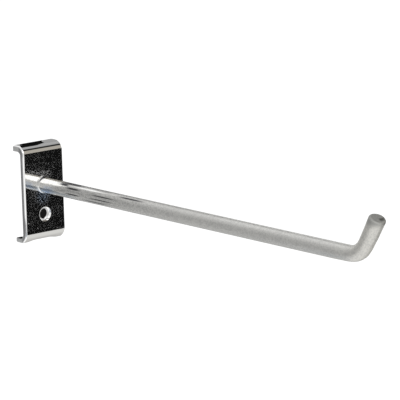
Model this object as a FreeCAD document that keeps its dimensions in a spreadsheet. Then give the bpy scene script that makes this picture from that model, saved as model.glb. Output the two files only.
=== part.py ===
import FreeCAD, Part
import math
import os
import Sketcher

# A heavy pegboard hook: a round steel rod with an upturned end, welded square to a folded sheet bracket.
# Frame: the origin is the centre of the screw hole on the bracket's back face. The rod runs towards -Y,
# X is the width and +Z is up. Lengths are in millimetres and angles in degrees.

# Driving dimensions: alias, value, meaning
SIZES = [
    ("sheet_thickness", 1.9, "thickness of the bracket's sheet"),
    ("plate_width", 20.6, "width of the bracket along X"),
    ("plate_height", 40.5, "height over the outsides of both flanges"),
    ("flange_depth", 7.3, "from the bracket's front face to the flange ends"),
    ("inner_bend_radius", 1.9, "inside radius of both folds"),
    ("blank_corner_radius", 1.0, "rounding of the sheet's four outline corners"),
    ("edge_roll", 0.8, "rounding that the punch leaves round the outer face"),
    ("hole_diameter", 4.5, "screw hole"),
    ("rim_rounding", 0.8, "rounding of the screw hole's front rim"),
    ("hole_above_bottom", 10.9, "screw hole centre above the underside"),
    ("rod_above_hole", 12.4, "rod axis above the screw hole centre"),
    ("rod_diameter", 6.35, "rod"),
    ("rod_reach", 200.0, "from the bracket's front face to the centre of the rod's end"),
    ("bend_radius", 11.0, "radius of the bend on the rod's axis"),
    ("tip_lean", 30.0, "lean of the upturned end from upright, away from the board"),
    ("tip_straight", 11.4, "straight length of the upturned end past the bend"),
    ("tip_rounding", 1.0, "rounding of the rod's end"),
    ("weld_width", 0.5, "how far the weld's upset stands out from the rod"),
    ("weld_height", 0.8, "how far the weld's upset climbs the rod"),
]

# Share of the sheet that a rounding may take from one side
ROUNDING_SHARE = 0.45

# A sketch numbers the points of a line or arc from 1 up, and its own two axes from -1 down
START, END, CENTRE = range(1, 4)
HORIZONTAL_AXIS, VERTICAL_AXIS = range(-1, -3, -1)
ORIGIN = (HORIZONTAL_AXIS, START)


def make_sheet(doc):
    """Puts the driving dimensions into a spreadsheet, one aliased cell each."""
    sheet = doc.addObject("Spreadsheet::Sheet", "sizes")
    for row, (alias, value, meaning) in enumerate(SIZES, start=1):
        sheet.set(f"A{row}", alias)
        sheet.set(f"B{row}", str(value))
        sheet.set(f"C{row}", meaning)
        sheet.setAlias(f"B{row}", alias)
    doc.recompute()
    return sheet


def make_body(doc, label):
    """Adds an empty body whose label is its node name."""
    body = doc.addObject("PartDesign::Body", label)
    body.Label = label
    body.Placement = FreeCAD.Placement()
    return body


def make_sketch(body, name, role):
    """Adds a sketch on the body's own origin plane with the given role."""
    plane = next(item for item in body.Origin.OriginFeatures if item.Role == role)
    sketch = body.newObject("Sketcher::SketchObject", name)
    sketch.AttachmentSupport = [(plane, "")]
    sketch.MapMode = "FlatFace"
    return sketch


def add_loop(sketch, corners):
    """Draws a closed loop of straight lines through the corners and returns the line numbers."""
    lines = []
    for here, there in zip(corners, corners[1:] + corners[:1]):
        ends = [FreeCAD.Vector(*here, 0), FreeCAD.Vector(*there, 0)]
        lines.append(sketch.addGeometry(Part.LineSegment(*ends), False))
    for line, following in zip(lines, lines[1:] + lines[:1]):
        sketch.addConstraint(Sketcher.Constraint("Coincident", line, END, following, START))
    return lines


def bind(sketch, constraint, name, expression):
    """Adds a named dimension to the sketch and ties it to an expression."""
    index = sketch.addConstraint(constraint)
    sketch.renameConstraint(index, name)
    sketch.setExpression(f"Constraints.{name}", expression)


def edge_names(shape, wanted):
    """Names the edges of a shape for which wanted(edge) is true."""
    return [f"Edge{number}" for number, edge in enumerate(shape.Edges, start=1) if wanted(edge)]


def add_fillet(doc, body, name, base, wanted, radius):
    """Rounds the chosen edges of the base feature by the radius expression."""
    fillet = body.newObject("PartDesign::Fillet", name)
    fillet.Base = (base, edge_names(base.Shape, wanted))
    fillet.setExpression("Radius", radius)
    doc.recompute()
    return fillet


def near(value, target):
    """Tells whether two lengths agree to a thousandth of a millimetre."""
    return abs(value - target) < 1e-3


def make_back_plate(doc, sizes):
    """Folds the sheet into a shallow channel, punches the screw hole and rolls the outer edges."""
    body = make_body(doc, "back_plate")
    sheet = sizes.sheet_thickness
    front = -sheet
    rear = sizes.flange_depth - sheet
    bottom = -sizes.hole_above_bottom
    top = bottom + sizes.plate_height

    profile = make_sketch(body, "channel_profile", "YZ_Plane")
    corners = [
        (rear, top),
        (front, top),
        (front, bottom),
        (rear, bottom),
        (rear, bottom + sheet),
        (0, bottom + sheet),
        (0, top - sheet),
        (rear, top - sheet),
    ]
    lines = add_loop(profile, corners)
    top_face, front_face, underside, lower_end, lower_inside, back_face, upper_inside, upper_end = lines
    for line in (top_face, underside, lower_inside, upper_inside):
        profile.addConstraint(Sketcher.Constraint("Horizontal", line))
    for line in (front_face, lower_end, back_face, upper_end):
        profile.addConstraint(Sketcher.Constraint("Vertical", line))
    profile.addConstraint(Sketcher.Constraint("PointOnObject", back_face, START, VERTICAL_AXIS))
    bind(profile, Sketcher.Constraint("DistanceX", front_face, START, *ORIGIN, sheet),
         "front_offset", "sizes.sheet_thickness")
    bind(profile, Sketcher.Constraint("DistanceY", underside, START, *ORIGIN, -bottom),
         "hole_height", "sizes.hole_above_bottom")
    bind(profile, Sketcher.Constraint("DistanceY", front_face, END, front_face, START, top - bottom),
         "height", "sizes.plate_height")
    bind(profile, Sketcher.Constraint("DistanceX", front_face, START, top_face, START, rear - front),
         "upper_depth", "sizes.flange_depth")
    bind(profile, Sketcher.Constraint("DistanceX", front_face, END, underside, END, rear - front),
         "lower_depth", "sizes.flange_depth")
    bind(profile, Sketcher.Constraint("DistanceY", lower_end, START, lower_end, END, sheet),
         "lower_thickness", "sizes.sheet_thickness")
    bind(profile, Sketcher.Constraint("DistanceY", upper_end, START, upper_end, END, sheet),
         "upper_thickness", "sizes.sheet_thickness")

    channel = body.newObject("PartDesign::Pad", "channel")
    channel.Profile = profile
    channel.Midplane = True
    channel.setExpression("Length", "sizes.plate_width")
    doc.recompute()

    def runs_along(edge, y, heights):
        middle = edge.BoundBox.Center
        spans_width = near(edge.BoundBox.XLength, sizes.plate_width)
        return spans_width and near(middle.y, y) and any(near(middle.z, z) for z in heights)

    inner_folds = add_fillet(doc, body, "inner_folds", channel,
                             lambda edge: runs_along(edge, 0, (bottom + sheet, top - sheet)),
                             "sizes.inner_bend_radius")
    outer_folds = add_fillet(doc, body, "outer_folds", inner_folds,
                             lambda edge: runs_along(edge, front, (bottom, top)),
                             "sizes.inner_bend_radius + sizes.sheet_thickness")

    def is_outline_corner(edge):
        box = edge.BoundBox
        at_rear = near(box.YMin, rear) and near(box.YMax, rear)
        return at_rear and near(box.ZLength, sheet) and near(box.XLength, 0)

    outline_corners = add_fillet(doc, body, "outline_corners", outer_folds, is_outline_corner,
                                 f"min(sizes.blank_corner_radius; {ROUNDING_SHARE} * (sizes.flange_depth"
                                 " - sizes.inner_bend_radius - sizes.sheet_thickness))")

    outline = make_sketch(body, "hole_outline", "XZ_Plane")
    circle = outline.addGeometry(Part.Circle(FreeCAD.Vector(0, 0, 0), FreeCAD.Vector(0, 0, 1),
                                             sizes.hole_diameter / 2), False)
    outline.addConstraint(Sketcher.Constraint("Coincident", circle, CENTRE, *ORIGIN))
    bind(outline, Sketcher.Constraint("Diameter", circle, sizes.hole_diameter),
         "bore", "sizes.hole_diameter")
    screw_hole = body.newObject("PartDesign::Pocket", "screw_hole")
    screw_hole.Profile = outline
    screw_hole.Type = "ThroughAll"
    screw_hole.Midplane = True
    doc.recompute()
    punched = math.pi * (sizes.hole_diameter / 2) ** 2 * sheet
    cut = outline_corners.Shape.Volume - screw_hole.Shape.Volume
    if abs(cut - punched) > 0.01 * punched:
        raise RuntimeError("the screw hole isn't cut through the bracket")

    def is_front_rim(edge):
        box = edge.BoundBox
        return near(box.YMin, front) and near(box.YMax, front) and near(box.XLength, sizes.hole_diameter)

    rim = add_fillet(doc, body, "rounded_rim", screw_hole, is_front_rim,
                     f"min(sizes.rim_rounding; {ROUNDING_SHARE} * sizes.sheet_thickness)")

    def is_outer_outline(edge):
        centre = edge.BoundBox.Center
        half = sizes.plate_width / 2
        at_side = abs(centre.x) > half - sizes.blank_corner_radius
        at_rear = centre.y > rear - sizes.blank_corner_radius
        mid_height = (top + bottom) / 2
        on_flange = near(abs(centre.z - mid_height), sizes.plate_height / 2)
        on_front = near(edge.BoundBox.YMin, front) and near(edge.BoundBox.YMax, front)
        outer_radius = sizes.inner_bend_radius + sheet
        is_fold = near(edge.BoundBox.YLength, outer_radius) and near(edge.BoundBox.ZLength, outer_radius)
        return (at_side and (on_front or on_flange or is_fold)) or (at_rear and on_flange)

    add_fillet(doc, body, "rolled_edges", rim, is_outer_outline,
               f"min(sizes.edge_roll; {ROUNDING_SHARE} * sizes.sheet_thickness)")
    return body


def make_hook_rod(doc, sizes):
    """Sweeps the rod along its bent axis, rounds its end and adds the weld's upset at its foot."""
    body = make_body(doc, "hook_rod")
    radius = sizes.rod_diameter / 2
    foot = -sizes.sheet_thickness
    turn = math.radians(90 - sizes.tip_lean)
    bend_start = foot - (sizes.rod_reach - sizes.bend_radius * math.sin(turn)
                         - sizes.tip_straight * math.cos(turn))
    axis_height = sizes.rod_above_hole
    bend_centre = FreeCAD.Vector(bend_start, axis_height + sizes.bend_radius, 0)
    bend_end = bend_centre + FreeCAD.Vector(-math.sin(turn), -math.cos(turn), 0) * sizes.bend_radius
    tip_end = bend_end + FreeCAD.Vector(-math.cos(turn), math.sin(turn), 0) * sizes.tip_straight

    path = make_sketch(body, "rod_axis", "YZ_Plane")
    run = path.addGeometry(Part.LineSegment(FreeCAD.Vector(foot, axis_height, 0),
                                            FreeCAD.Vector(bend_start, axis_height, 0)), False)
    circle = Part.Circle(bend_centre, FreeCAD.Vector(0, 0, 1), sizes.bend_radius)
    bend = path.addGeometry(Part.ArcOfCircle(circle, -math.pi / 2 - turn, -math.pi / 2), False)
    tip = path.addGeometry(Part.LineSegment(bend_end, tip_end), False)
    path.addConstraint(Sketcher.Constraint("Horizontal", run))
    path.addConstraint(Sketcher.Constraint("Tangent", run, END, bend, END))
    path.addConstraint(Sketcher.Constraint("Tangent", bend, START, tip, START))
    bind(path, Sketcher.Constraint("DistanceX", run, START, *ORIGIN, -foot),
         "foot_offset", "sizes.sheet_thickness")
    bind(path, Sketcher.Constraint("DistanceY", *ORIGIN, run, START, axis_height),
         "axis_height", "sizes.rod_above_hole")
    bind(path, Sketcher.Constraint("Radius", bend, sizes.bend_radius),
         "bend_radius", "sizes.bend_radius")
    bind(path, Sketcher.Constraint("DistanceX", tip, END, run, START, sizes.rod_reach),
         "reach", "sizes.rod_reach")
    bind(path, Sketcher.Constraint("Distance", tip, sizes.tip_straight),
         "tip_straight", "sizes.tip_straight")
    bind(path, Sketcher.Constraint("DistanceY", tip, START, tip, END, tip_end.y - bend_end.y),
         "tip_rise", "sizes.tip_straight * cos(sizes.tip_lean * 1 deg)")

    section = make_sketch(body, "rod_section", "XZ_Plane")
    section.setExpression("AttachmentOffset.Base.z", "sizes.sheet_thickness")
    ring = section.addGeometry(Part.Circle(FreeCAD.Vector(0, axis_height, 0), FreeCAD.Vector(0, 0, 1),
                                           radius), False)
    section.addConstraint(Sketcher.Constraint("PointOnObject", ring, CENTRE, VERTICAL_AXIS))
    bind(section, Sketcher.Constraint("DistanceY", *ORIGIN, ring, CENTRE, axis_height),
         "axis_height", "sizes.rod_above_hole")
    bind(section, Sketcher.Constraint("Diameter", ring, sizes.rod_diameter),
         "rod_diameter", "sizes.rod_diameter")
    rod = body.newObject("PartDesign::AdditivePipe", "rod")
    rod.Profile = section
    rod.Spine = path
    doc.recompute()

    def is_end_rim(edge):
        return near(edge.CenterOfMass.distanceToPoint(FreeCAD.Vector(0, tip_end.x, tip_end.y)), 0)

    rounded_end = add_fillet(doc, body, "rounded_end", rod, is_end_rim,
                             f"min(sizes.tip_rounding; {ROUNDING_SHARE} * sizes.rod_diameter)")

    upset_profile = make_sketch(body, "upset_profile", "YZ_Plane")
    crest = foot - sizes.weld_height
    corners = [
        (foot, axis_height),
        (foot, axis_height + radius + sizes.weld_width),
        (crest, axis_height + radius),
        (crest, axis_height),
    ]
    base_line, slope, crest_line, axis_line = add_loop(upset_profile, corners)
    for line in (base_line, crest_line):
        upset_profile.addConstraint(Sketcher.Constraint("Vertical", line))
    upset_profile.addConstraint(Sketcher.Constraint("Horizontal", axis_line))
    bind(upset_profile, Sketcher.Constraint("DistanceX", base_line, START, *ORIGIN, -foot),
         "foot_offset", "sizes.sheet_thickness")
    bind(upset_profile, Sketcher.Constraint("DistanceY", *ORIGIN, base_line, START, axis_height),
         "axis_height", "sizes.rod_above_hole")
    bind(upset_profile, Sketcher.Constraint("DistanceX", crest_line, START, base_line, END,
                                            sizes.weld_height),
         "weld_height", "sizes.weld_height")
    bind(upset_profile, Sketcher.Constraint("DistanceY", base_line, START, base_line, END,
                                            radius + sizes.weld_width),
         "foot_radius", "sizes.rod_diameter / 2 + sizes.weld_width")
    bind(upset_profile, Sketcher.Constraint("DistanceY", crest_line, END, crest_line, START, radius),
         "crest_radius", "sizes.rod_diameter / 2")
    upset = body.newObject("PartDesign::Revolution", "weld_upset")
    upset.Profile = upset_profile
    upset.ReferenceAxis = (upset_profile, [f"Edge{axis_line + 1}"])
    upset.Angle = 360
    doc.recompute()
    if upset.Shape.Volume <= rounded_end.Shape.Volume:
        raise RuntimeError("the weld's upset adds nothing to the rod")
    return body


def check_and_export(doc, bodies):
    """Stops on any failed feature or bad solid, then writes one file for each sub-part."""
    for item in doc.Objects:
        if "Invalid" in item.State or "Error" in item.State:
            raise RuntimeError(f"{item.Label} failed: {item.State}")
    for body in bodies:
        if body.Shape.isNull() or not body.Shape.isValid():
            raise RuntimeError(f"{body.Label} has no valid shape")
    os.makedirs("parts", exist_ok=True)
    for body in bodies:
        body.Shape.exportStep(f"parts/{body.Label}.step")
        print(body.Label, "volume", round(body.Shape.Volume, 1), "box", body.Shape.BoundBox)


document = FreeCAD.newDocument("pegboard_hook")
dimensions = make_sheet(document)
pieces = [make_back_plate(document, dimensions), make_hook_rod(document, dimensions)]
document.recompute()
check_and_export(document, pieces)
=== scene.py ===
import math

import bmesh
import bpy
from mathutils import Matrix, Vector


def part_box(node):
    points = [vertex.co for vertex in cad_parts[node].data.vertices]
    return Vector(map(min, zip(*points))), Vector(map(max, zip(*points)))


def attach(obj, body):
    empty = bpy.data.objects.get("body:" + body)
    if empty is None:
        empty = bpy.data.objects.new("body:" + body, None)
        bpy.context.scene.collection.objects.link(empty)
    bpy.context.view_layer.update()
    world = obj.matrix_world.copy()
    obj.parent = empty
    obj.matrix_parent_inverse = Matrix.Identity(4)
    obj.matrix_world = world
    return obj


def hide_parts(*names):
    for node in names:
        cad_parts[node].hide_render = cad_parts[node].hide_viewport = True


# Looks of a plated steel pegboard hook: a satin rod with an upturned end, welded to a bright folded
# bracket. The rod runs towards -Y, X is the bracket's width and +Z is up. Lengths are in metres.

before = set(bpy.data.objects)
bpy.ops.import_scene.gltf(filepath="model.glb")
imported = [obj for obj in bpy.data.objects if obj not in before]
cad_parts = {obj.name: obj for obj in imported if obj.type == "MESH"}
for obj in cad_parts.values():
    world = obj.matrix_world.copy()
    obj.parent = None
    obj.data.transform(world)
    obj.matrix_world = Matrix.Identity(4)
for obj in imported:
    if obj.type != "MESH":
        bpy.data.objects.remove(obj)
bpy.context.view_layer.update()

MM = 0.001

# Bracket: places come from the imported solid, the rest are the sizes of the folded sheet
plate_low, plate_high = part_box("back_plate")
PLATE_FRONT = plate_low.y
PLATE_WIDTH = plate_high.x - plate_low.x
PLATE_HEIGHT = plate_high.z - plate_low.z
PLATE_MIDDLE = (plate_high.z + plate_low.z) / 2
FLANGE_END = plate_high.y
SHEET = 1.9 * MM
OUTER_FOLD = 3.8 * MM
FOLD_LENGTH = OUTER_FOLD * math.pi / 2
FRONT_HALF = PLATE_HEIGHT / 2 - OUTER_FOLD
BLANK_CORNER = 1.0 * MM
EDGE_ROLL = 0.8 * MM
BACK_BREAK = 0.08 * MM
HOLE_RADIUS = 2.25 * MM
RIM_ROUNDING = 0.8 * MM

# Mesh of the sheet: half the square patch round the hole, the narrow strip beside each rounded edge, and
# the share of the roll over which bright metal turns into the satin of the sheared wall
HOLE_PATCH = 3.9 * MM
EDGE_SUPPORT = 0.06 * MM
SHEAR_FADE = 0.5

# Sag of the folds: how far it goes, and where it grows towards the sides and behind the front face
FOLD_SAG = 0.5 * MM
SAG_ASIDE = (3.5 * MM, 8.0 * MM)
SAG_BEHIND = (0.9 * MM, 3.0 * MM)

# Rod: its foot is on the bracket's front face, and its weld ring is the solid's widest place
rod_low, rod_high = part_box("hook_rod")
ROD_RADIUS = 3.175 * MM
WELD_RADIUS = rod_high.x
WELD_HEIGHT = 0.8 * MM
ROD_AXIS = rod_low.z + WELD_RADIUS
ROD_REACH = 200.0 * MM
BEND_RADIUS = 11.0 * MM
TIP_TURN = math.radians(60)
TIP_STRAIGHT = 11.4 * MM
END_ROUNDING = 1.0 * MM
BEND_FLATTENING = 0.35 * MM
TIP_FLARE = 0.1 * MM
TIP_SPREAD = 0.38 * MM
FLASH_HEIGHT = 0.55 * MM
FLASH_LEAN = math.radians(10)
ROD_RUN = ROD_REACH - BEND_RADIUS * math.sin(TIP_TURN) - TIP_STRAIGHT * math.cos(TIP_TURN)
ROD_LENGTH = ROD_RUN + BEND_RADIUS * TIP_TURN + TIP_STRAIGHT

# Camera: fitted to the photograph's edges, with the rod's foot at this pixel of its 400 by 400 frame.
# Its angles are in degrees.
IMAGE_SIDE = 400
FOOT_PIXEL = (43.52, 184.17)
FOCAL_PIXELS = 2899.1
CAMERA_AZIMUTH = -39.88
CAMERA_ELEVATION = 11.81
CAMERA_ROLL = -1.54
CAMERA_DEPTH = 1199.3 * MM
SENSOR_WIDTH = 36.0


class Signal:
    """One output of a node. Arithmetic on it adds Math nodes to its tree."""

    def __init__(self, graph, made, key):
        self.graph = graph
        self.made = made
        self.socket = made.outputs[key]

    def output(self, key):
        """Another output of the same node."""
        return Signal(self.graph, self.made, key)

    def maths(self, operation, *values):
        """Adds a Math node with these values in its sockets."""
        return self.graph.node("ShaderNodeMath", {"operation": operation}, dict(enumerate(values)))

    def __add__(self, other):
        return self.maths("ADD", self, other)

    def __radd__(self, other):
        return self.maths("ADD", other, self)

    def __sub__(self, other):
        return self.maths("SUBTRACT", self, other)

    def __rsub__(self, other):
        return self.maths("SUBTRACT", other, self)

    def __mul__(self, other):
        return self.maths("MULTIPLY", self, other)

    def __rmul__(self, other):
        return self.maths("MULTIPLY", other, self)

    def __truediv__(self, other):
        return self.maths("DIVIDE", self, other)

    def __pow__(self, other):
        return self.maths("POWER", self, other)

    def __abs__(self):
        return self.maths("ABSOLUTE", self)

    def sine(self):
        return self.maths("SINE", self)

    def cosine(self):
        return self.maths("COSINE", self)

    def least(self, other):
        return self.maths("MINIMUM", self, other)

    def most(self, other):
        return self.maths("MAXIMUM", self, other)

    def ramp(self, low, high):
        """Rises from 0 to 1 while this signal goes from low to high, and stays level outside."""
        return self.graph.node("ShaderNodeMapRange", {}, {
            "Value": self, "From Min": low, "From Max": high})

    def smooth(self, low, high, start=0.0, end=1.0):
        """Goes from start to end with soft ends while this signal goes from low to high."""
        return self.graph.node("ShaderNodeMapRange", {"interpolation_type": "SMOOTHSTEP"}, {
            "Value": self, "From Min": low, "From Max": high, "To Min": start, "To Max": end})


class Graph:
    """Adds nodes to one node tree."""

    def __init__(self, tree):
        self.tree = tree

    def node(self, kind, settings=None, sockets=None, result=0):
        """Adds a node, sets it up, then fills or links its sockets. Returns one of its outputs, if any."""
        made = self.tree.nodes.new(kind)
        for name, value in (settings or {}).items():
            setattr(made, name, value)
        for key, value in (sockets or {}).items():
            if isinstance(value, Signal):
                self.tree.links.new(value.socket, made.inputs[key])
            else:
                made.inputs[key].default_value = value
        return Signal(self, made, result) if made.outputs else None


def make_material(name, colour):
    """Starts a node material whose solid view has this colour, and returns it with its graph."""
    material = bpy.data.materials.new(name)
    material.use_nodes = True
    material.diffuse_color = (*colour, 1)
    material.node_tree.nodes.clear()
    return material, Graph(material.node_tree)


def mix_colours(graph, share, first, second):
    """Mixes two colours by a share."""
    return graph.node("ShaderNodeMix", {"data_type": "RGBA"},
                      {"Factor": share, "A": first, "B": second}, "Result")


def noise(graph, where, scale, detail, roughness=0.5):
    """Fractal noise over a surface, from about 0 to 1."""
    return graph.node("ShaderNodeTexNoise", {}, {
        "Vector": where, "Scale": scale, "Detail": detail, "Roughness": roughness})


def stretched(graph, where, factors, turn=(0, 0, 0)):
    """Turns and stretches a pattern's coordinates."""
    return graph.node("ShaderNodeMapping", {}, {"Vector": where, "Rotation": turn, "Scale": factors})


# Bracket


def spread(start, end, count):
    """Evenly spaced values from start up to, but not including, end."""
    return [start + (end - start) * step / count for step in range(count)]


def neighbours(count):
    """Each place of a closed loop with the place that follows it."""
    return zip(range(count), [*range(1, count), 0])


def ease(value, low, high):
    """Rises from 0 to 1 with soft ends while a value goes from low to high."""
    share = min(max((value - low) / (high - low), 0), 1)
    return share * share * (3 - 2 * share)


def fold(x, along, depth):
    """Places a point of the flat blank on the folded bracket.

    along runs up the outer face from the bracket's middle, and depth goes into the sheet from that face.
    """
    side = 1 if along >= 0 else -1
    distance = abs(along)
    if distance <= FRONT_HALF:
        return Vector((x, PLATE_FRONT + depth, PLATE_MIDDLE + along))
    angle = min((distance - FRONT_HALF) / OUTER_FOLD, math.pi / 2)
    radius = OUTER_FOLD - depth
    past_fold = max(distance - FRONT_HALF - FOLD_LENGTH, 0)
    behind = OUTER_FOLD - radius * math.cos(angle) + past_fold
    away = FRONT_HALF + radius * math.sin(angle)
    # Towards the sides, the lower fold sags a little and the upper one is swollen underneath
    sag = FOLD_SAG * ease(abs(x), *SAG_ASIDE) * ease(behind, *SAG_BEHIND)
    if side > 0:
        sag *= depth / SHEET
    return Vector((x, PLATE_FRONT + behind, PLATE_MIDDLE + side * away - sag))


def rounded(radius, steps):
    """Quarter round as pairs of inset and depth, from the outer face round to the side wall."""
    angles = [math.pi / 2 * step / steps for step in range(steps + 1)]
    return [(radius - radius * math.sin(angle), radius - radius * math.cos(angle)) for angle in angles]


def punched(radius, steps):
    """The hole's rim, between a quarter round and a chamfer, as pairs of inset and depth."""
    chamfer = [(radius - radius * step / steps, radius * step / steps) for step in range(steps + 1)]
    return [((round_inset + inset) / 2, (round_depth + depth) / 2)
            for (round_inset, round_depth), (inset, depth) in zip(rounded(radius, steps), chamfer)]


def back_rounded(radius, steps):
    """The broken back edge as pairs of inset and depth, from the wall round to the back face."""
    angles = [math.pi / 2 * step / steps for step in range(steps + 1)]
    return [(radius - radius * math.cos(angle), SHEET - radius + radius * math.sin(angle))
            for angle in angles]


def cut_edge(front):
    """Section of a cut edge behind its rounded front: a straight wall, then the broken back edge."""
    wall_steps = 4
    wall_start = front[-1][1]
    wall_length = SHEET - BACK_BREAK - wall_start
    walls = [(0, wall_start + wall_length * step / wall_steps) for step in range(1, wall_steps)]
    return [(front[0][0] + EDGE_SUPPORT, 0), *front, *walls, *back_rounded(BACK_BREAK, 3),
            (BACK_BREAK + EDGE_SUPPORT, SHEET)]


def shear_start(along):
    """Where the sheared wall starts, as a share of the edge's roll. It is deepest above the screw hole."""
    if abs(along) >= FRONT_HALF:
        return 0.1
    return 0.5 * ease(along + PLATE_MIDDLE, -3.5 * MM, 2.0 * MM) - 0.1


def bridge(mesh, first, second):
    """Joins two closed loops of as many points with a band of faces."""
    for here, following in neighbours(len(first)):
        mesh.faces.new((first[here], first[following], second[following], second[here]))


def make_bracket_mesh():
    """Lays out the blank with its rounded outline and screw hole, already folded into a shallow channel."""
    fold_end = FRONT_HALF + FOLD_LENGTH
    flange_flat = FLANGE_END - PLATE_FRONT - OUTER_FOLD
    column_edge = PLATE_WIDTH / 2 - BLANK_CORNER
    row_edge = fold_end + flange_flat - BLANK_CORNER
    hole_along = -PLATE_MIDDLE
    hole_bottom = hole_along - HOLE_PATCH
    hole_top = hole_along + HOLE_PATCH
    patch_steps = 16
    corner_steps = 8
    roll_steps = 12
    side_steps = 6
    fold_steps = 28
    flat_steps = 3

    columns = [*spread(-column_edge, -HOLE_PATCH, side_steps),
               *spread(-HOLE_PATCH, HOLE_PATCH, patch_steps),
               *spread(HOLE_PATCH, column_edge, side_steps), column_edge]
    rows = [*spread(-row_edge, -fold_end, flat_steps), *spread(-fold_end, -FRONT_HALF, fold_steps),
            *spread(-FRONT_HALF, hole_bottom, flat_steps), *spread(hole_bottom, hole_top, patch_steps),
            *spread(hole_top, FRONT_HALF, patch_steps), *spread(FRONT_HALF, fold_end, fold_steps),
            *spread(fold_end, row_edge, flat_steps), row_edge]

    mesh = bmesh.new()
    sheared = mesh.verts.layers.float.new("sheared")

    def add(x, along, depth, dullness=1.0):
        """Adds a folded point, and marks how far into the satin, sheared wall it is."""
        vertex = mesh.verts.new(fold(x, along, depth))
        if depth < SHEET:
            into_wall = (depth / EDGE_ROLL - shear_start(along)) / SHEAR_FADE
            vertex[sheared] = min(max(into_wall, 0), 1) * dullness
        return vertex

    def outline_loop(inset, depth):
        """Points round the blank's outline, moved in by inset."""
        radius = BLANK_CORNER - inset
        reach_x = column_edge + radius
        reach_along = row_edge + radius
        points = []

        def corner(side_x, side_along, start):
            """Adds the points of one rounded corner."""
            for step in range(1, corner_steps):
                angle = start + math.pi / 2 * step / corner_steps
                points.append((side_x * column_edge + radius * math.cos(angle),
                               side_along * row_edge + radius * math.sin(angle)))

        points += [(x, -reach_along) for x in columns]
        corner(1, -1, -math.pi / 2)
        points += [(reach_x, along) for along in rows]
        corner(1, 1, 0)
        points += [(x, reach_along) for x in reversed(columns)]
        corner(-1, 1, math.pi / 2)
        points += [(-reach_x, along) for along in reversed(rows)]
        corner(-1, -1, math.pi)
        return [add(x, along, depth) for x, along in points]

    def hole_loop(radius, depth):
        """Points round the screw hole, in step with the square patch round it."""
        count = 4 * patch_steps
        angles = [-0.75 * math.pi + 2 * math.pi * step / count for step in range(count)]
        return [add(radius * math.cos(angle), hole_along + radius * math.sin(angle), depth, 0.0)
                for angle in angles]

    def face_grid(depth, outline, rim, outward):
        """Fills the sheet's outer or back face, between its outline loop and its hole loop."""
        first_column = columns.index(-HOLE_PATCH)
        first_row = rows.index(hole_bottom)
        last_column = first_column + patch_steps
        last_row = first_row + patch_steps
        grid = {}
        for row, along in enumerate(rows):
            for column, x in enumerate(columns):
                if not (first_column < column < last_column and first_row < row < last_row):
                    grid[column, row] = add(x, along, depth)

        faces = []
        for row in range(len(rows) - 1):
            for column in range(len(columns) - 1):
                if first_column <= column < last_column and first_row <= row < last_row:
                    continue
                faces.append((grid[column, row], grid[column + 1, row],
                              grid[column + 1, row + 1], grid[column, row + 1]))

        square = [grid[column, first_row] for column in range(first_column, last_column)]
        square += [grid[last_column, row] for row in range(first_row, last_row)]
        square += [grid[column, last_row] for column in range(last_column, first_column, -1)]
        square += [grid[first_column, row] for row in range(last_row, first_row, -1)]
        for here, following in neighbours(len(square)):
            faces.append((square[here], square[following], rim[following], rim[here]))

        end_column = len(columns) - 1
        end_row = len(rows) - 1
        corner_points = corner_steps - 1
        border = [grid[column, 0] for column in range(len(columns))]
        border += [grid[end_column, 0]] * corner_points
        border += [grid[end_column, row] for row in range(len(rows))]
        border += [grid[end_column, end_row]] * corner_points
        border += [grid[column, end_row] for column in range(end_column, -1, -1)]
        border += [grid[0, end_row]] * corner_points
        border += [grid[0, row] for row in range(end_row, -1, -1)]
        border += [grid[0, 0]] * corner_points
        for here, following in neighbours(len(border)):
            corners = (outline[here], outline[following], border[following], border[here])
            faces.append(tuple(dict.fromkeys(corners)))
        for corners in faces:
            mesh.faces.new(corners if outward else tuple(reversed(corners)))

    loops = [outline_loop(inset, depth) for inset, depth in cut_edge(rounded(EDGE_ROLL, roll_steps))]
    for shallow, deep in zip(loops, loops[1:]):
        bridge(mesh, shallow, deep)

    rims = [hole_loop(HOLE_RADIUS + inset, depth)
            for inset, depth in cut_edge(punched(RIM_ROUNDING, roll_steps))]
    for shallow, deep in zip(rims, rims[1:]):
        bridge(mesh, deep, shallow)

    face_grid(0, loops[0], rims[0], True)
    face_grid(SHEET, loops[-1], rims[-1], False)
    bmesh.ops.recalc_face_normals(mesh, faces=mesh.faces)
    return mesh


def make_bracket():
    """Makes the bright bracket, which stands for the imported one."""
    made = make_bracket_mesh()
    mesh = bpy.data.meshes.new("bracket")
    made.to_mesh(mesh)
    made.free()
    mesh.shade_smooth()
    bracket = bpy.data.objects.new("bracket", mesh)
    bpy.context.scene.collection.objects.link(bracket)
    mesh.materials.append(bright_plating())
    return bracket


# Rod


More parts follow.
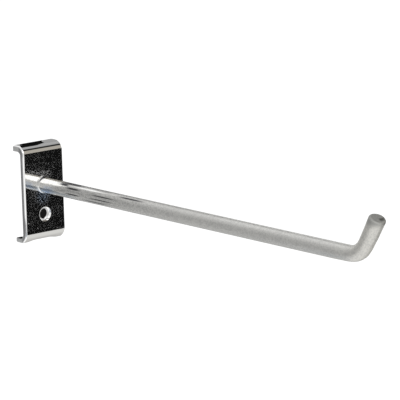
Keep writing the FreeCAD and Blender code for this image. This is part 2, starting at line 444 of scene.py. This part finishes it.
def rod_tree():
    """Geometry nodes that bend a plain cylinder into the welded rod, station by station."""
    tree = bpy.data.node_groups.new("welded_rod", "GeometryNodeTree")
    defaults = {
        "Foot Y": PLATE_FRONT,
        "Axis Height": ROD_AXIS,
        "Rod Radius": ROD_RADIUS,
        "Weld Radius": WELD_RADIUS,
        "Weld Height": WELD_HEIGHT,
        "Run Length": ROD_RUN,
        "Bend Radius": BEND_RADIUS,
        "Turn": TIP_TURN,
        "Tip Length": TIP_STRAIGHT,
        "End Rounding": END_ROUNDING,
        "Bend Flattening": BEND_FLATTENING,
        "Tip Flare": TIP_FLARE,
        "Tip Spread": TIP_SPREAD,
        "Flash Height": FLASH_HEIGHT,
        "Flash Lean": FLASH_LEAN,
    }
    for name, value in defaults.items():
        socket = tree.interface.new_socket(name, in_out="INPUT", socket_type="NodeSocketFloat")
        socket.default_value = value
    tree.interface.new_socket("Plating", in_out="INPUT", socket_type="NodeSocketMaterial")
    tree.interface.new_socket("Geometry", in_out="OUTPUT", socket_type="NodeSocketGeometry")
    graph = Graph(tree)
    sizes = graph.node("NodeGroupInput")
    size = {name: sizes.output(name) for name in defaults}

    sections = {"weld": 10, "crease": 3, "run": 24, "bend": 56, "tip": 10, "round": 12}
    rings = sum(sections.values())
    around = 96
    cylinder = graph.node("GeometryNodeMeshCylinder", {"fill_type": "TRIANGLE_FAN"}, {
        "Vertices": around, "Side Segments": rings, "Fill Segments": 8, "Radius": 1.0, "Depth": 2.0})
    place = graph.node("ShaderNodeSeparateXYZ", {},
                       {"Vector": graph.node("GeometryNodeInputPosition")})
    across, upward = place.output("X"), place.output("Y")
    ring = (place.output("Z") + 1) * (rings / 2)

    # Length along the axis, and the radius, at each ring
    reached = 0
    shares = {}
    for name, count in sections.items():
        shares[name] = ring.ramp(reached, reached + count)
        reached += count
    quarter = shares["round"] * (math.pi / 2)
    bend_length = size["Bend Radius"] * size["Turn"]
    length = (shares["weld"] * size["Weld Height"]
              + shares["crease"] * (size["Weld Height"] * 0.5)
              + shares["run"] * (size["Run Length"] - size["Weld Height"] * 1.5)
              + shares["bend"] * bend_length
              + shares["tip"] * (size["Tip Length"] - size["End Rounding"])
              + quarter.sine() * size["End Rounding"])
    upset = (size["Weld Radius"] - size["Rod Radius"]) * (1 - shares["weld"] ** 3)
    radius = (size["Rod Radius"] + upset + shares["tip"] ** 2 * size["Tip Flare"]
              - (1 - quarter.cosine()) * size["End Rounding"])

    # The weld ring is a little uneven round its foot
    ripple = graph.node("ShaderNodeTexNoise", {"noise_dimensions": "3D"}, {
        "Vector": graph.node("ShaderNodeCombineXYZ", {}, {"X": across, "Y": upward, "Z": length}),
        "Scale": 2.6, "Detail": 2.0})
    radius = radius - upset * (1 - ripple) * 0.5

    # A tongue of flash stands up at its top
    flash = (upward * size["Flash Lean"].cosine() - across * size["Flash Lean"].sine()).smooth(0.93, 0.995)
    radius = radius + flash * (1 - shares["weld"]) * size["Flash Height"]

    # The axis: a straight run, an arc that lifts the tip, and the tip's own straight
    into_bend = length - size["Run Length"]
    angle = (into_bend / size["Bend Radius"]).most(0).least(size["Turn"])
    past_bend = (into_bend - bend_length).most(0)
    axis_y = (size["Foot Y"] - length.least(size["Run Length"])
              - angle.sine() * size["Bend Radius"] - angle.cosine() * past_bend)
    axis_z = (size["Axis Height"] + (1 - angle.cosine()) * size["Bend Radius"]
              + angle.sine() * past_bend)

    # The bending die flattens the outer side where the bend starts and, more, where it ends
    from_start = abs(into_bend - bend_length * 0.1)
    from_end = abs(into_bend - bend_length * 0.95)
    pressed = from_start.smooth(0, 3.5 * MM, 0.5, 0).most(from_end.smooth(0, 4.5 * MM, 1, 0))
    outer_side = (0 - upward).most(0)
    lift = upward * radius + outer_side * pressed * size["Bend Flattening"]

    # The cut spread the end to one side
    spread_side = across.most(0) ** 2 * shares["tip"] ** 4 * size["Tip Spread"]
    position = graph.node("ShaderNodeCombineXYZ", {}, {
        "X": across * radius + spread_side,
        "Y": axis_y + angle.sine() * lift,
        "Z": axis_z + angle.cosine() * lift})

    # Each point keeps its place on the straight rod, which its finish follows round the bend
    straightened = graph.node("ShaderNodeCombineXYZ", {}, {
        "X": across * radius, "Y": upward * radius, "Z": length})
    marked = graph.node("GeometryNodeStoreNamedAttribute",
                        {"data_type": "FLOAT_VECTOR", "domain": "POINT"},
                        {"Geometry": cylinder, "Name": "straightened", "Value": straightened})
    bent = graph.node("GeometryNodeSetPosition", {}, {"Geometry": marked, "Position": position})
    shaded = graph.node("GeometryNodeSetShadeSmooth", {}, {"Geometry": bent})
    realized = graph.node("GeometryNodeRealizeInstances", {}, {"Geometry": shaded})
    finished = graph.node("GeometryNodeSetMaterial", {}, {
        "Geometry": realized, "Material": sizes.output("Plating")})
    graph.node("NodeGroupOutput", {}, {"Geometry": finished})
    return tree


def plain_mesh(name, tree, inputs):
    """Runs a tree on an empty mesh and returns its result as an object with a plain mesh."""
    carrier = bpy.data.objects.new(name, bpy.data.meshes.new(name))
    bpy.context.scene.collection.objects.link(carrier)
    modifier = carrier.modifiers.new("build", "NODES")
    modifier.node_group = tree
    for socket in tree.interface.items_tree:
        if socket.in_out == "INPUT" and socket.name in inputs:
            modifier[socket.identifier] = inputs[socket.name]
    evaluated = carrier.evaluated_get(bpy.context.evaluated_depsgraph_get())
    result = bpy.data.meshes.new_from_object(evaluated)
    carrier.modifiers.remove(modifier)
    carrier.data = result
    result.name = name
    return carrier


def make_rod():
    """Makes the rod with its weld ring and pressed bend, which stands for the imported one."""
    rod = plain_mesh("rod", rod_tree(), {"Plating": satin_plating()})
    mesh = bmesh.new()
    mesh.from_mesh(rod.data)
    bmesh.ops.recalc_face_normals(mesh, faces=mesh.faces)
    mesh.to_mesh(rod.data)
    mesh.free()
    return rod


# Finishes

PLATED = (0.74, 0.74, 0.73)


def band(signal, centre, half_width, softness):
    """1 within half_width of a centre and 0 past a soft edge."""
    return abs(signal - centre).smooth(half_width, half_width + softness, 1.0, 0.0)


def round_spot(across, upward, centre, core, edge):
    """1 within core of a centre and 0 past a soft edge."""
    aside, above = across - centre[0], upward - centre[1]
    return ((aside * aside + above * above) ** 0.5).smooth(core, edge, 1.0, 0.0)


def bright_plating():
    """Mirror-bright zinc on stamped sheet: fine scuffs, a little haze, and satin walls where it was cut."""
    material, graph = make_material("bright_plating", PLATED)
    where = graph.node("ShaderNodeTexCoord", {}, {}, "Object")
    sheared = graph.node("ShaderNodeAttribute", {"attribute_name": "sheared"}, {}, "Fac")
    places = graph.node("ShaderNodeSeparateXYZ", {}, {"Vector": where})
    aside, rise = places.output("X"), places.output("Z") - ROD_AXIS

    haze = noise(graph, where, 160.0, 5.0, 0.6).smooth(0.5, 0.8)
    specks = noise(graph, where, 900.0, 2.0).smooth(0.66, 0.74)
    scratches = noise(graph, stretched(graph, where, (300, 300, 3000), (0, 0.5, 0)), 1.0, 3.0)
    grain = noise(graph, stretched(graph, where, (200, 900, 200)), 1.0, 3.0)

    # Fine scuffs dull the front face, most of all over and under the weld
    under_weld = round_spot(aside, rise, (-0.8 * MM, -4.6 * MM), 1 * MM, 5.2 * MM)
    beside_weld = round_spot(aside, rise, (-6 * MM, -3.2 * MM), 1.5 * MM, 4 * MM)
    over_weld = (band(rise + aside * 0.15, 4.8 * MM, 0.5 * MM, 1.3 * MM)
                 * aside.smooth(1 * MM, 5 * MM, 1, 0))
    front = places.output("Y").smooth(PLATE_FRONT + 0.1 * MM, PLATE_FRONT + 0.4 * MM, 1, 0)
    flecks = noise(graph, where, 2000.0, 3.0, 0.65).smooth(0.48, 0.64)
    patches = noise(graph, where, 330.0, 3.0, 0.6).smooth(0.36, 0.66)
    scuffs = flecks * (patches * 0.2 + 0.06 + under_weld.most(over_weld * 0.8)) * front

    roughness = 0.015 + haze * 0.02 + specks * front * 0.25 + scuffs * 0.1
    roughness = roughness + beside_weld * front * 0.12 + sheared * (0.22 + grain * 0.12)

    # The sheared walls are dark along the front and paler on the flanges, and heat blued the sheet
    on_flange = places.output("Y").smooth(0, 1.5 * MM)
    cut = mix_colours(graph, on_flange, (0.27, 0.27, 0.275, 1), (0.52, 0.525, 0.52, 1))
    plated = mix_colours(graph, sheared, (0.86, 0.86, 0.855, 1), cut)
    hazed = mix_colours(graph, haze * 0.25, plated, (0.72, 0.73, 0.74, 1))
    blue_toned = mix_colours(graph, under_weld * front, hazed, (0.55, 0.66, 0.82, 1))
    relief = ((scratches * 0.15 + haze * 0.2 + specks * 1.2) * (front * 0.85 + 0.15)
              + sheared * grain * 2)
    bump = graph.node("ShaderNodeBump", {}, {
        "Strength": 0.12, "Distance": 0.06 * MM, "Height": relief})
    shader = graph.node("ShaderNodeBsdfPrincipled", {}, {
        "Base Color": blue_toned, "Metallic": 1 - scuffs * 0.4, "Roughness": roughness, "Normal": bump})
    graph.node("ShaderNodeOutputMaterial", {}, {"Surface": shader})
    return material


def lengthwise_line(across, upward, along, angle, start, end, half_width):
    """A line along the rod, for the draw marks and the painted highlight, at an angle in degrees round it
    from +X. Lengths are in mm.
    """
    side, rise = math.cos(math.radians(angle)), math.sin(math.radians(angle))
    middle = (start + end) / 2 * MM
    half_length = (end - start) / 2 * MM
    half_width *= MM
    facing = (across * side + upward * rise).smooth(0, MM)
    reach = band(along, middle, half_length * 0.3, half_length)
    return band(upward * side - across * rise, 0, half_width * 0.55, half_width * 0.6) * facing * reach


def satin_plating():
    """Satin zinc on drawn rod: draw marks, strongest near the weld and darkened partly as painted
    reflection, fine grain, a dull cut end, and painted shade and highlights near the weld and along the top.
    """
    material, graph = make_material("satin_plating", PLATED)
    where = graph.node("ShaderNodeAttribute", {"attribute_name": "straightened"}, {}, "Vector")
    places = graph.node("ShaderNodeSeparateXYZ", {}, {"Vector": where})
    across, upward, along = places.output("X"), places.output("Y"), places.output("Z")

    near_weld = along.smooth(30 * MM, 75 * MM, 1.0, 0.0)
    on_tip = along.smooth(ROD_RUN - 10 * MM, ROD_RUN + BEND_RADIUS)
    drawn = noise(graph, stretched(graph, where, (1500, 1500, 24)), 1.0, 3.0, 0.6)
    lines = band(drawn, 0.5, 0.01, 0.035)
    mottle = noise(graph, where, 260.0, 4.0, 0.55)
    grains = noise(graph, where, 1400.0, 3.0, 0.6)

    # Draw marks: single ones in their places and faint ones all round near the weld, darkened partly as
    # painted reflection of the dark bracket; one bright line is a painted highlight
    marks_and_reflections = lengthwise_line(across, upward, along, 123, 13.5, 19.5, 0.75)
    for angle, start, end, half_width in ((102, 14, 29, 1.0), (147, 18, 28, 0.5), (190, 18, 28, 0.34),
                                          (159, 34, 51, 0.25), (186, 34, 50, 0.24), (126, 51, 68, 0.42),
                                          (214, 28, 46, 0.3), (238, 14, 30, 0.6)):
        marks_and_reflections = marks_and_reflections.most(lengthwise_line(across, upward, along, angle, start, end, half_width))
    streaks = noise(graph, stretched(graph, where, (2600, 2600, 90)), 1.0, 2.0, 0.6).smooth(0.38, 0.6)
    marks_and_reflections = marks_and_reflections * (0.9 + streaks * 0.1)
    marks_and_reflections = marks_and_reflections.most(lines * near_weld * along.smooth(9 * MM, 14 * MM) * 0.48)
    # A painted highlight: one bright line along the upper side near the weld
    gleam = lengthwise_line(across, upward, along, 124, 22, 42, 0.4)

    # Silver, with painted shade along the top and a painted blue-grey shade on the low side beside the weld,
    # and worn in a fine grain
    silver = mix_colours(graph, on_tip, (0.59, 0.585, 0.563, 1), (0.59, 0.58, 0.543, 1))
    # Painted shade along the top of the run, starting a little way from the weld
    top_shade = (upward.smooth(1.7 * MM, 2.8 * MM) * along.smooth(100 * MM, 125 * MM, 1.0, 0.0)
               * along.smooth(0, 12 * MM))
    top_shaded = mix_colours(graph, top_shade * 0.3, silver, (0.36, 0.355, 0.345, 1))
    # Painted blue-grey shade on the low side just beside the weld
    underside_shade = (along.smooth(2.5 * MM, 5.5 * MM) * along.smooth(7 * MM, 12 * MM, 1.0, 0.0)
              * (0 - across * 0.94 - upward * 0.34).smooth(2.4 * MM, 3 * MM))
    blue_toned = mix_colours(graph, underside_shade, top_shaded, (0.37, 0.42, 0.5, 1))
    pebbled = grains.smooth(0.42, 0.62) * along.smooth(60 * MM, 100 * MM, 0.8, 0.5)
    worn = mix_colours(graph, mottle.smooth(0.35, 0.7) * 0.12 + pebbled, blue_toned, (0.4, 0.4, 0.39, 1))

    # Draw marks dark, partly as painted reflection, painted shade in the crease over the weld, and painted
    # highlights on the lip under it and along one line
    crease = band(along, WELD_HEIGHT, 0.2 * MM, 0.2 * MM) * upward.smooth(1.2 * MM, 2.6 * MM)
    marked_and_shaded = mix_colours(graph, marks_and_reflections.most(crease), worn, (0.04, 0.04, 0.045, 1))
    low_side = 0 - across * 0.82 - upward * 0.57
    lip_highlight = along.smooth(0.6 * MM, 0.9 * MM, 1.0, 0.0) * low_side.smooth(2.5 * MM, 3.2 * MM)
    highlighted = mix_colours(graph, lip_highlight.most(gleam), marked_and_shaded, (0.78, 0.78, 0.77, 1))

    # The cut end is dull, further down on one side, and has a dark spot
    slant = across * 0.66 - upward * 0.75
    cut_end = (along - slant * 0.45).smooth(ROD_LENGTH - 3.6 * MM, ROD_LENGTH)
    spot = band(across, 1.2 * MM, 0.5 * MM, 1.1 * MM) * band(upward, -1.1 * MM, 0.3 * MM, 0.9 * MM)
    cut = mix_colours(graph, spot * 0.85, (0.34, 0.34, 0.325, 1), (0.05, 0.05, 0.045, 1))
    colour = mix_colours(graph, cut_end, highlighted, cut)

    roughness = 0.3 - near_weld * 0.14 + on_tip * 0.1 + mottle * 0.08 + cut_end * 0.2
    height = drawn * (0.3 + near_weld) + mottle * 0.4
    bump = graph.node("ShaderNodeBump", {}, {"Strength": 0.25, "Distance": 0.1 * MM, "Height": height})
    shader = graph.node("ShaderNodeBsdfPrincipled", {}, {
        "Base Color": colour, "Metallic": 1 - marks_and_reflections * 0.6, "Roughness": roughness, "Normal": bump,
        "Specular IOR Level": 0.0})
    graph.node("ShaderNodeOutputMaterial", {}, {"Surface": shader})
    return material


# Studio


def seen_directly(graph):
    """1 for rays from the camera and for reflected and refracted ones, which show the background white."""
    paths = graph.node("ShaderNodeLightPath")
    return paths.output("Is Camera Ray").most(paths.output("Is Glossy Ray")).most(
        paths.output("Is Transmission Ray"))


def make_world():
    """White all round for what is seen or mirrored, and plain soft light for the rest."""
    world = bpy.data.worlds.new("studio")
    bpy.context.scene.world = world
    world.use_nodes = True
    world.node_tree.nodes.clear()
    graph = Graph(world.node_tree)
    light = graph.node("ShaderNodeBackground", {}, {"Color": (1, 1, 1, 1), "Strength": 0.8})
    white = graph.node("ShaderNodeBackground", {}, {"Color": (1, 1, 1, 1), "Strength": 1.0})
    shown = graph.node("ShaderNodeMixShader", {}, {0: seen_directly(graph), 1: light, 2: white})
    graph.node("ShaderNodeOutputWorld", {}, {"Surface": shown})


def make_floor():
    """A pale floor well below the hook, lifted to white where it is seen."""
    height = -0.35
    reach = 6.0
    mesh = bpy.data.meshes.new("floor")
    corners = [(-reach, -reach, height), (reach, -reach, height), (reach, reach, height),
               (-reach, reach, height)]
    mesh.from_pydata(corners, [], [(0, 1, 2, 3)])
    floor = bpy.data.objects.new("floor", mesh)
    bpy.context.scene.collection.objects.link(floor)
    material, graph = make_material("pale_floor", (0.8, 0.8, 0.8))
    lift = mix_colours(graph, seen_directly(graph), (0, 0, 0, 1), (0.45, 0.45, 0.45, 1))
    shader = graph.node("ShaderNodeBsdfPrincipled", {}, {
        "Base Color": (0.8, 0.8, 0.8, 1), "Roughness": 0.9, "Specular IOR Level": 0.0,
        "Emission Color": lift, "Emission Strength": 1.0})
    graph.node("ShaderNodeOutputMaterial", {}, {"Surface": shader})
    mesh.materials.append(material)


def round_upright(azimuth, elevation):
    """Unit vector at an azimuth from -Y towards +X and an elevation, both in degrees."""
    turn, rise = math.radians(azimuth), math.radians(elevation)
    return Vector((math.sin(turn) * math.cos(rise), -math.cos(turn) * math.cos(rise), math.sin(rise)))


def round_width(turn, lean):
    """Unit vector turned up from -Y about the X axis, then leant towards +X, both in degrees."""
    turn, lean = math.radians(turn), math.radians(lean)
    return Vector((math.sin(lean), -math.cos(lean) * math.cos(turn), math.cos(lean) * math.sin(turn)))


def round_rod(turn, lean):
    """Unit vector at an angle from +X towards +Z round the rod, then leant towards +Y, both in degrees."""
    turn, lean = math.radians(turn), math.radians(lean)
    return Vector((math.cos(turn) * math.cos(lean), math.sin(lean), math.sin(turn) * math.cos(lean)))


def make_card(name, aim, stops, reach, centre=(0, 0, 0)):
    """A curved card of the studio that only mirrors see, at a reach from a centre.

    Each stop gives the first angle of aim, the low and high ends of the second one, and the colour there.
    """
    mesh = bpy.data.meshes.new(name)
    points, colours, faces = [], [], []
    columns = 12
    row_step = 6
    for stop, following in zip(stops, [*stops[1:], None]):
        rows = max(math.ceil(abs(following[0] - stop[0]) / row_step), 1) if following else 1
        for row in range(rows):
            share = row / rows
            angle, low, high, colour = stop
            if following:
                angle += (following[0] - angle) * share
                low += (following[1] - low) * share
                high += (following[2] - high) * share
                colour = [here + (there - here) * share for here, there in zip(colour, following[3])]
            for column in range(columns + 1):
                second = low + (high - low) * column / columns
                points.append(Vector(centre) + aim(angle, second) * reach)
                colours += [*colour, 1]
    for first in range(len(points) - columns - 2):
        if first % (columns + 1) < columns:
            faces.append((first, first + 1, first + columns + 2, first + columns + 1))
    mesh.from_pydata(points, [], faces)
    mesh.attributes.new("glow", "FLOAT_COLOR", "POINT").data.foreach_set("color", colours)
    card = bpy.data.objects.new(name, mesh)
    bpy.context.scene.collection.objects.link(card)
    card.visible_camera = False
    card.visible_shadow = False
    card.visible_diffuse = False
    material, graph = make_material(name, stops[0][3])
    colour = graph.node("ShaderNodeAttribute", {"attribute_name": "glow"}, {}, "Color")
    glow = graph.node("ShaderNodeEmission", {}, {"Color": colour, "Strength": 1.0})
    graph.node("ShaderNodeOutputMaterial", {}, {"Surface": glow})
    mesh.materials.append(material)


def make_softbox(name, azimuth, elevation, distance, width, height, level):
    """A rectangular lamp that faces the hook, at a radiance of level."""
    data = bpy.data.lights.new(name, "AREA")
    data.shape = "RECTANGLE"
    data.size = width
    data.size_y = height
    data.energy = level * math.pi * width * height
    lamp = bpy.data.objects.new(name, data)
    bpy.context.scene.collection.objects.link(lamp)
    away = round_upright(azimuth, elevation)
    lamp.location = away * distance
    lamp.rotation_mode = "QUATERNION"
    lamp.rotation_quaternion = away.to_track_quat("Z", "Y")
    lamp.visible_camera = False


def grey(level):
    """A neutral colour."""
    return (level, level, level)


def make_studio():
    """White room, a big softbox in front and above, and the cards that the bright metal mirrors.

    The right and flange surrounds give the folds and flanges their dark and pale bands. The rod surround
    stands behind the bracket and shades the rod all round.
    """
    make_world()
    make_floor()
    make_softbox("front_softbox", azimuth=-5, elevation=42, distance=0.9, width=0.8, height=0.5, level=1.6)

    black = grey(0.006)
    beige = (0.46, 0.43, 0.38)
    make_card("right_surround", round_width, [
        (-170, 18, 62, grey(0.52)), (-140, 18, 62, grey(0.5)), (-122, 18, 62, (0.5, 0.49, 0.475)),
        (-108, 18, 62, (0.56, 0.55, 0.535)), (-92, 18, 62, (0.66, 0.65, 0.63)),
        (-75, 18, 62, (0.74, 0.735, 0.71)), (-31, 18, 62, (0.76, 0.755, 0.73)),
        (-30, 22, 75, black), (12, 22, 75, black),
        (13, 18, 62, beige), (48, 18, 62, beige),
        (52, 18, 62, grey(0.02)), (67, 18, 62, grey(0.02)),
        (72, 18, 62, grey(0.4)), (98, 18, 62, grey(0.47)), (104, 18, 62, grey(0.45))], 0.4)
    make_card("flange_surround", round_width, [
        (104, 31, 41, grey(0.42)), (108, 31, 41, grey(0.38)), (162.5, 31, 41, grey(0.37)),
        (163.5, 31, 41, black), (174, 31, 41, black),
        (175, 31, 41, grey(0.8)), (186, 31, 41, grey(0.8))], 0.33)
    make_card("right_flag", round_upright, [(60, -20, 2, black), (118, -20, 2, black)], 0.39)
    make_card("left_back_card", round_upright, [
        (-188, -32, 12, grey(0.58)), (-95, -32, 12, grey(0.58)), (-72, -32, 12, grey(0.8))], 0.6)
    make_card("rod_surround", round_rod, [
        (48, 30, 72, grey(0.8)), (64, 28, 72, grey(1.05)), (82, 28, 72, grey(1.25)),
        (100, 28, 72, grey(1.1)), (116, 28, 72, grey(0.85)), (132, 28, 72, grey(0.72)),
        (148, 28, 72, grey(0.62)), (164, 28, 72, grey(0.57)), (208, 28, 72, grey(0.62)),
        (224, 28, 72, grey(0.68)), (264, 28, 72, grey(0.7)), (300, 28, 72, grey(0.74))],
        0.4, (0, -0.1, 0.0124))
    make_card("low_front_card", lambda rise, azimuth: round_upright(azimuth, rise), [
        (-50, -48, 16, (0.64, 0.69, 0.76)), (-34, -52, 16, (0.6, 0.66, 0.73)),
        (-29, -55, 0, (0.34, 0.38, 0.43)), (-15, -58, 0, (0.34, 0.38, 0.43))], 0.13)
    make_card("black_support", round_width, [
        (100, 33.5, 35.2, black), (117, 33.2, 35.9, black), (129, 33.5, 36.3, black),
        (141, 33.6, 36.3, black), (153, 33.7, 36.3, black), (172, 33.9, 36.4, black)],
        0.25, (0, PLATE_FRONT + OUTER_FOLD, plate_high.z - OUTER_FOLD))


def make_backing(camera):
    """A black spot at the far end of a long white sleeve, which shows through the screw hole."""
    hole = Vector((0, -SHEET / 2, 0))
    sight = (hole - camera.location).normalized()
    side = sight.cross(Vector((0, 0, 1))).normalized()
    above = side.cross(sight)
    near_end = 0.4
    far_end = 0.95
    radius = 4.4 * MM
    count = 32
    rings = []
    for reach in (near_end, far_end):
        centre = hole + sight * reach
        for step in range(count):
            turn = 2 * math.pi * step / count
            rings.append(centre + (side * math.cos(turn) + above * math.sin(turn)) * radius)
    faces = [(here, following, following + count, here + count) for here, following in neighbours(count)]
    mesh = bpy.data.meshes.new("hole_backing")
    mesh.from_pydata(rings, [], [*faces, tuple(range(count, 2 * count))])
    for name, level in (("sleeve_white", 1.0), ("backing_black", 0.01)):
        material, graph = make_material(name, grey(level))
        glow = graph.node("ShaderNodeEmission", {}, {"Color": (*grey(level), 1), "Strength": 1.0})
        graph.node("ShaderNodeOutputMaterial", {}, {"Surface": glow})
        mesh.materials.append(material)
    mesh.polygons[count].material_index = 1
    backing = bpy.data.objects.new("hole_backing", mesh)
    bpy.context.scene.collection.objects.link(backing)
    backing.visible_shadow = False
    backing.visible_diffuse = False


def make_camera():
    """Stands the camera where the photograph was taken from."""
    back = round_upright(CAMERA_AZIMUTH, CAMERA_ELEVATION)
    turn, roll = math.radians(CAMERA_AZIMUTH), math.radians(CAMERA_ROLL)
    level_right = Vector((math.cos(turn), math.sin(turn), 0))
    level_up = back.cross(level_right)
    right = math.cos(roll) * level_right + math.sin(roll) * level_up
    up = -math.sin(roll) * level_right + math.cos(roll) * level_up
    middle = (IMAGE_SIDE - 1) / 2
    aside = (FOOT_PIXEL[0] - middle) * CAMERA_DEPTH / FOCAL_PIXELS
    above = (middle - FOOT_PIXEL[1]) * CAMERA_DEPTH / FOCAL_PIXELS
    foot = Vector((0, PLATE_FRONT, ROD_AXIS))
    place = foot + back * CAMERA_DEPTH - right * aside - up * above

    data = bpy.data.cameras.new("camera")
    data.sensor_width = SENSOR_WIDTH
    data.lens = FOCAL_PIXELS * SENSOR_WIDTH / IMAGE_SIDE
    data.clip_start = 0.01
    data.clip_end = 50
    camera = bpy.data.objects.new("camera", data)
    bpy.context.scene.collection.objects.link(camera)
    axes = Matrix((right, up, back)).transposed()
    camera.matrix_world = Matrix.Translation(place) @ axes.to_4x4()
    bpy.context.scene.camera = camera
    return camera


bracket = make_bracket()
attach(bracket, "root")
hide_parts("back_plate")

rod = make_rod()
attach(rod, "root")
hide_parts("hook_rod")

make_studio()
make_backing(make_camera())
bpy.context.scene.view_settings.view_transform = "Standard"
